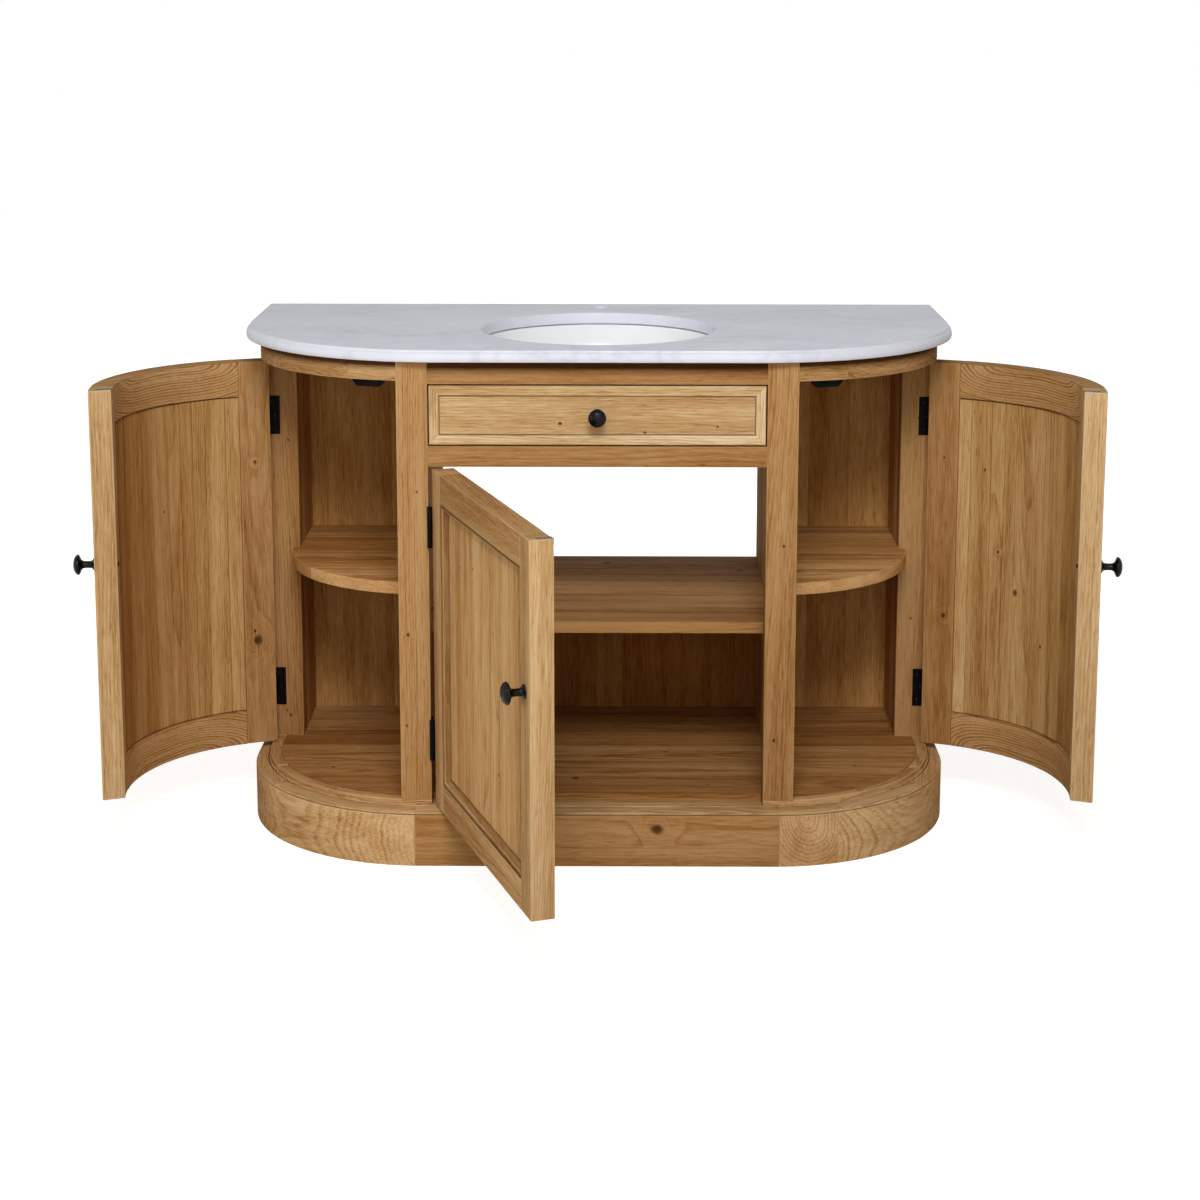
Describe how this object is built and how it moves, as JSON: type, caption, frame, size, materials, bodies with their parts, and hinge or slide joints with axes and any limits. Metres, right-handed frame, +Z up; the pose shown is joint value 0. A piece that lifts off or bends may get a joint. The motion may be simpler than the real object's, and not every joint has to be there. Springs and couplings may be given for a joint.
{
  "type": "vanity unit",
  "caption": "Free-standing solid wood vanity unit with bowed ends, curved and flat boarded doors, a drawer, open shelves, a moulded plinth, a marble top and an undermount basin.",
  "frame": {"origin": "on the floor, on the centre line, below the front face of the two front posts", "axes": "+X to the right as seen from the front, +Y to the back, +Z up; the doors stand open at rest and the drawer is shut"},
  "size_m": [1.7568, 1.1097, 0.88],
  "materials": {
    "oak": "waxed",
    "pale_oak": "waxed",
    "deep_oak": "waxed",
    "iron": "black satin",
    "marble": "honed",
    "ceramic": "gloss",
    "clips": "zinc plated"
  },
  "bodies": {
    "cabinet": {"plinth_front": "oak", "plinth_end_left": "oak", "plinth_end_right": "oak", "plinth_back": "deep_oak", "plinth_bearers": "deep_oak", "base_moulding": "pale_oak", "base_board": "oak", "front_post_left": "pale_oak", "front_post_right": "pale_oak", "side_post_left": "pale_oak", "side_post_right": "pale_oak", "rear_post_left": "oak", "rear_post_right": "oak", "side_panel_left": "oak", "side_panel_right": "oak", "divider_left": "oak", "divider_right": "oak", "back_panel_left": "deep_oak", "back_panel_right": "deep_oak", "back_panel_centre": "deep_oak", "top_rail": "oak", "drawer_rail": "oak", "rear_rail": "deep_oak", "apron_left": "pale_oak", "apron_right": "pale_oak", "shelf_left": "pale_oak", "shelf_right": "pale_oak", "shelf_centre": "oak", "marble_top": "marble", "basin": "ceramic", "basin_clips": "clips", "door_catches": "iron", "frame_hinges": "iron", "drawer_runners": "deep_oak"},
    "left_door": {"left_door_hinge_stile": "pale_oak", "left_door_free_stile": "pale_oak", "left_door_top_rail": "oak", "left_door_bottom_rail": "oak", "left_door_panel": "oak", "left_door_knob": "iron", "left_door_hinges": "iron"},
    "right_door": {"right_door_hinge_stile": "pale_oak", "right_door_free_stile": "pale_oak", "right_door_top_rail": "oak", "right_door_bottom_rail": "oak", "right_door_panel": "oak", "right_door_knob": "iron", "right_door_hinges": "iron"},
    "centre_door": {"centre_door_hinge_stile": "pale_oak", "centre_door_free_stile": "pale_oak", "centre_door_top_rail": "oak", "centre_door_bottom_rail": "oak", "centre_door_panel": "oak", "centre_door_knob": "iron", "centre_door_hinges": "iron"},
    "drawer": {"drawer_front": "oak", "drawer_sides": "pale_oak", "drawer_backs": "pale_oak", "drawer_bottoms": "oak", "drawer_knob": "iron"}
  },
  "joints": [
    {"name": "left_door_hinge", "type": "hinge", "parent": "cabinet", "child": "left_door", "pos_m": [-0.601, 0.3597, 0.45], "axis": [0, 0, -1], "range_deg": [-69, 36]},
    {"name": "right_door_hinge", "type": "hinge", "parent": "cabinet", "child": "right_door", "pos_m": [0.601, 0.3597, 0.45], "axis": [0, 0, 1], "range_deg": [-69, 36]},
    {"name": "centre_door_hinge", "type": "hinge", "parent": "cabinet", "child": "centre_door", "pos_m": [-0.2787, -0.004, 0.4], "axis": [0, 0, -1], "range_deg": [-71, 39]},
    {"name": "drawer_slide", "type": "slide", "parent": "cabinet", "child": "drawer", "axis": [0, -1, 0], "range_m": [0, 0.25]}
  ]
}
